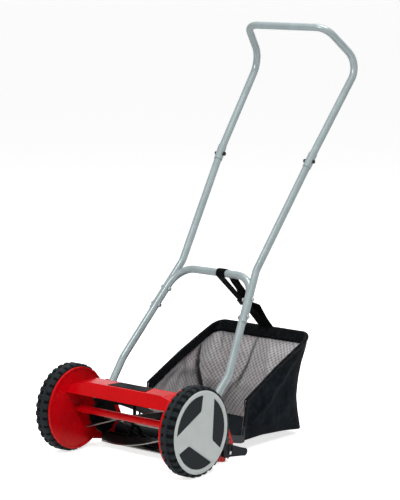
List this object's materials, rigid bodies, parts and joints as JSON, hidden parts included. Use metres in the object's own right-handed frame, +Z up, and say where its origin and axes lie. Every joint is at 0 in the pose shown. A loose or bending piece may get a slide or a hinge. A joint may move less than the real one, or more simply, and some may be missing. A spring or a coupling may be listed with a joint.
{
  "type": "reel mower",
  "caption": "Hand-pushed cylinder mower: helical cutting reel between two wheels, rear roller, cover, U-shaped tube handle and a fabric grass bag hung on a strap.",
  "frame": {"origin": "on the ground under the middle of the whole mower's bounding box", "axes": "+Z up; the mower is pushed towards -Y, its handle rises towards +Y; +X is the right-hand side seen from in front of it"},
  "size_m": [0.4148, 0.7712, 0.9777],
  "materials": {
    "tyre": "matt black rubber with moulded tread",
    "wheel": "black moulded plastic",
    "cap": "mid-grey moulded plastic, fine grain",
    "red": "glossy red enamel",
    "reelblack": "satin black enamel",
    "tube": "silver-grey hammered or metallic paint on steel tube",
    "steel": "bright steel",
    "zinc": "zinc-plated fastener",
    "blackened": "blackened fastener",
    "blackplastic": "black moulded plastic",
    "panel": "bare black adhesive panel",
    "webbing": "black woven webbing",
    "bag": "coated woven fabric, black outside, flecked grey inside, black binding",
    "wire": "black coated steel wire"
  },
  "bodies": {
    "chassis": {"axle": "steel", "axle_rings": "zinc", "axle_tube": "red", "bag_pins": "zinc", "bearing_balls": "steel", "bearing_housing_left": "blackplastic", "bearing_housing_right": "blackplastic", "bearing_outer_races": "steel", "bed_bar": "red", "bed_bar_bolts": "zinc", "bed_knife": "steel", "bed_knife_screws": "zinc", "bracket_guide_pins": "zinc", "cover_panel": "panel", "cover_screws": "zinc", "foot_bolts": "zinc", "housing_screws": "zinc", "joint_bolts": "blackened", "lap_bolts": "zinc", "lower_handle": "tube", "middle_handle_left": "tube", "middle_handle_right": "tube", "side_plate_left": "red", "side_plate_right": "red", "strap_buckle": "blackplastic", "strap_loop": "webbing", "strap_tail": "webbing", "top_cover": "red", "upper_handle": "tube"},
    "wheel_right": {"tyre_right": "tyre", "wheel_right": "wheel", "wheel_gear_right": "wheel", "hub_cap_right": "cap"},
    "wheel_left": {"tyre_left": "tyre", "wheel_left": "wheel", "wheel_gear_left": "wheel", "hub_cap_left": "cap"},
    "reel": {"reel_shaft": "steel", "reel_spiders": "reelblack", "reel_blade_1": "reelblack", "reel_blade_2": "reelblack", "reel_blade_3": "reelblack", "reel_blade_4": "reelblack", "reel_blade_5": "reelblack", "bearing_inner_races": "steel", "ratchet_keys": "steel", "shaft_clips": "steel"},
    "pinion_right": {"pinion_right": "blackplastic"},
    "pinion_left": {"pinion_left": "blackplastic"},
    "height_frame": {"height_bracket_right": "blackplastic", "height_bracket_left": "blackplastic", "roller_axle": "steel"},
    "roller": {"roller": "blackplastic", "roller_ends": "blackplastic"},
    "bag": {"grass_bag": "bag", "bag_rim_wire": "wire", "bag_front_frame": "wire"}
  },
  "joints": [
    {"name": "wheel_right_spin", "type": "hinge", "parent": "chassis", "child": "wheel_right", "pos_m": [0, -0.28531, 0.1025], "axis": [1, 0, 0], "continuous": true},
    {"name": "wheel_left_spin", "type": "hinge", "parent": "chassis", "child": "wheel_left", "pos_m": [0, -0.28531, 0.1025], "axis": [1, 0, 0], "continuous": true},
    {"name": "reel_spin", "type": "hinge", "parent": "chassis", "child": "reel", "pos_m": [0, -0.21932, 0.0737], "axis": [1, 0, 0], "continuous": true},
    {"name": "pinion_right_spin", "type": "hinge", "parent": "chassis", "child": "pinion_right", "pos_m": [0, -0.21932, 0.0737], "axis": [1, 0, 0], "continuous": true},
    {"name": "pinion_left_spin", "type": "hinge", "parent": "chassis", "child": "pinion_left", "pos_m": [0, -0.21932, 0.0737], "axis": [1, 0, 0], "continuous": true},
    {"name": "height_slide", "type": "slide", "parent": "chassis", "child": "height_frame", "axis": [0, 0, 1], "range_m": [-0.039, 0]},
    {"name": "roller_spin", "type": "hinge", "parent": "height_frame", "child": "roller", "pos_m": [0, -0.14531, 0.0225], "axis": [1, 0, 0], "continuous": true},
    {"name": "bag_lift", "type": "hinge", "parent": "chassis", "child": "bag", "pos_m": [0, -0.13331, 0.05], "axis": [1, 0, 0], "range_deg": [0, 12], "deforming": ["strap_tail"]}
  ],
  "couplings": [
    {"joint": "reel_spin", "follows": "wheel_right_spin", "ratio": 7},
    {"joint": "pinion_right_spin", "follows": "wheel_right_spin", "ratio": 7},
    {"joint": "pinion_left_spin", "follows": "wheel_left_spin", "ratio": 7}
  ]
}
